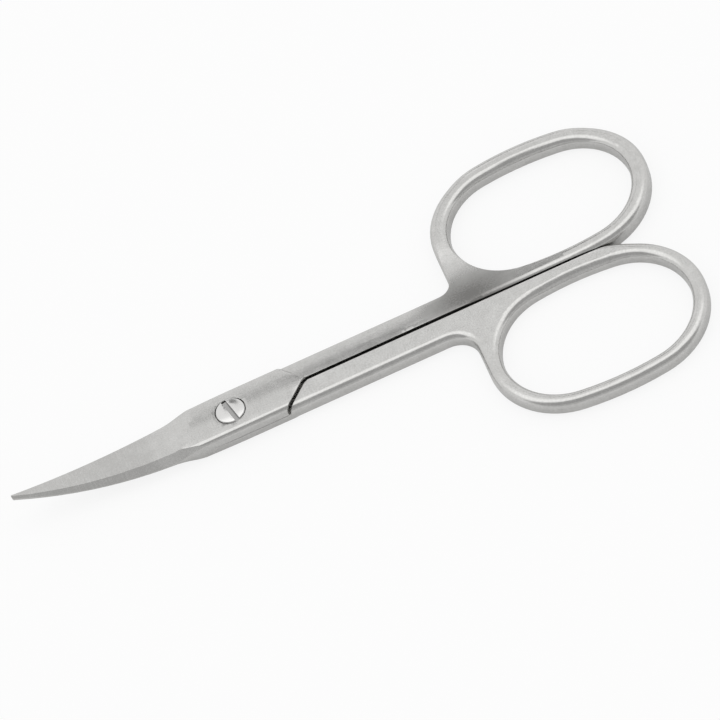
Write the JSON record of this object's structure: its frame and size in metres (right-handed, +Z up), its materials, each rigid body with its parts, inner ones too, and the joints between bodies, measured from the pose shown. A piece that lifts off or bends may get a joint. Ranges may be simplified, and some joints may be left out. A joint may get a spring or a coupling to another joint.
{
  "type": "cuticle scissors",
  "caption": "Small steel cuticle scissors with upswept pointed blades, lapped halves held by a slotted pivot screw, and oval finger rings; the front half swings open about the screw.",
  "frame": {"origin": "on the pivot axis, in the plane of the flat underside that the closed scissors rest on", "axes": "+X from the pivot to the finger rings, +Y to the side of the front half's ring, +Z up along the pivot axis, towards the screw head"},
  "size_m": [0.0899, 0.0426, 0.0054],
  "materials": {
    "satin_steel": "satin, blasted and brushed",
    "bright_steel": "polished"
  },
  "bodies": {
    "rear": {"rear_half": "satin_steel", "pivot_screw": "bright_steel"},
    "front": {"front_half": "satin_steel"}
  },
  "joints": [
    {"name": "pivot", "type": "hinge", "parent": "rear", "child": "front", "pos_m": [0, 0, 0.0015], "axis": [0, 0, 1], "range_deg": [0, 120]}
  ]
}
